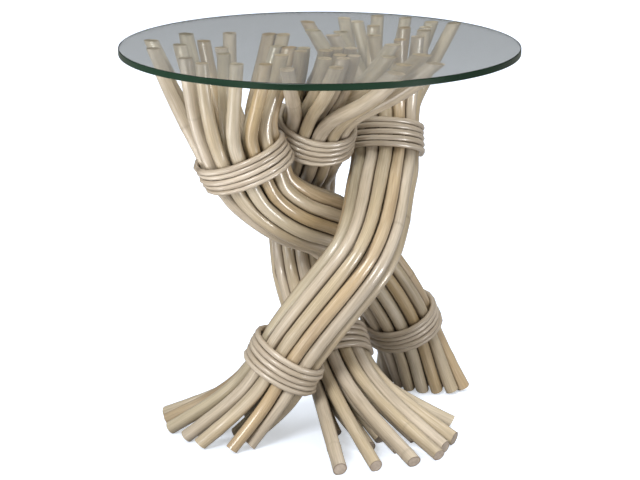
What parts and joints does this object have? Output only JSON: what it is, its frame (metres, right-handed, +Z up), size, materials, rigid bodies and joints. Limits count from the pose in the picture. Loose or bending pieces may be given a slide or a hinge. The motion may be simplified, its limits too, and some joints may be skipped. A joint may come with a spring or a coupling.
{
  "type": "side table",
  "caption": "Round side table: loose bevelled clear glass top resting on the spread ends of cane-bound rattan pole bundles that lean past each other in a twist.",
  "frame": {"origin": "on the floor, under the middle of the round glass top", "axes": "+Z up, -Y towards the front of the table as the picture sees it, +X to the viewer's right"},
  "size_m": [0.5589, 0.559, 0.559],
  "materials": {
    "glass": "clear polished glass, dark green at the edge",
    "rattan": "whitewashed rattan poles under a satin lacquer",
    "cane": "whitewashed round cane under a satin lacquer"
  },
  "bodies": {
    "base": {"left_pole_01": "rattan", "left_pole_02": "rattan", "left_pole_03": "rattan", "left_pole_04": "rattan", "left_pole_05": "rattan", "left_pole_06": "rattan", "left_pole_07": "rattan", "left_pole_08": "rattan", "left_pole_09": "rattan", "left_pole_10": "rattan", "left_pole_11": "rattan", "left_pole_12": "rattan", "left_pole_13": "rattan", "left_pole_14": "rattan", "left_pole_15": "rattan", "left_pole_16": "rattan", "left_pole_17": "rattan", "right_pole_01": "rattan", "right_pole_02": "rattan", "right_pole_03": "rattan", "right_pole_04": "rattan", "right_pole_05": "rattan", "right_pole_06": "rattan", "right_pole_07": "rattan", "right_pole_08": "rattan", "right_pole_09": "rattan", "right_pole_10": "rattan", "right_pole_11": "rattan", "right_pole_12": "rattan", "right_pole_13": "rattan", "right_pole_14": "rattan", "right_pole_15": "rattan", "right_pole_16": "rattan", "right_pole_17": "rattan", "front_pole_01": "rattan", "front_pole_02": "rattan", "front_pole_03": "rattan", "front_pole_04": "rattan", "front_pole_05": "rattan", "front_pole_06": "rattan", "front_pole_07": "rattan", "front_pole_08": "rattan", "front_pole_09": "rattan", "front_pole_10": "rattan", "front_pole_11": "rattan", "front_pole_12": "rattan", "front_pole_13": "rattan", "front_pole_14": "rattan", "front_pole_15": "rattan", "front_pole_16": "rattan", "front_pole_17": "rattan", "left_top_binding": "cane", "left_foot_binding": "cane", "right_top_binding": "cane", "right_foot_binding": "cane", "front_top_binding": "cane", "front_foot_binding": "cane"},
    "top": {"glass_top": "glass"}
  },
  "joints": [
    {"name": "glass_lift", "type": "slide", "parent": "base", "child": "top", "axis": [0, 0, 1], "range_m": [0, 0.12]}
  ]
}
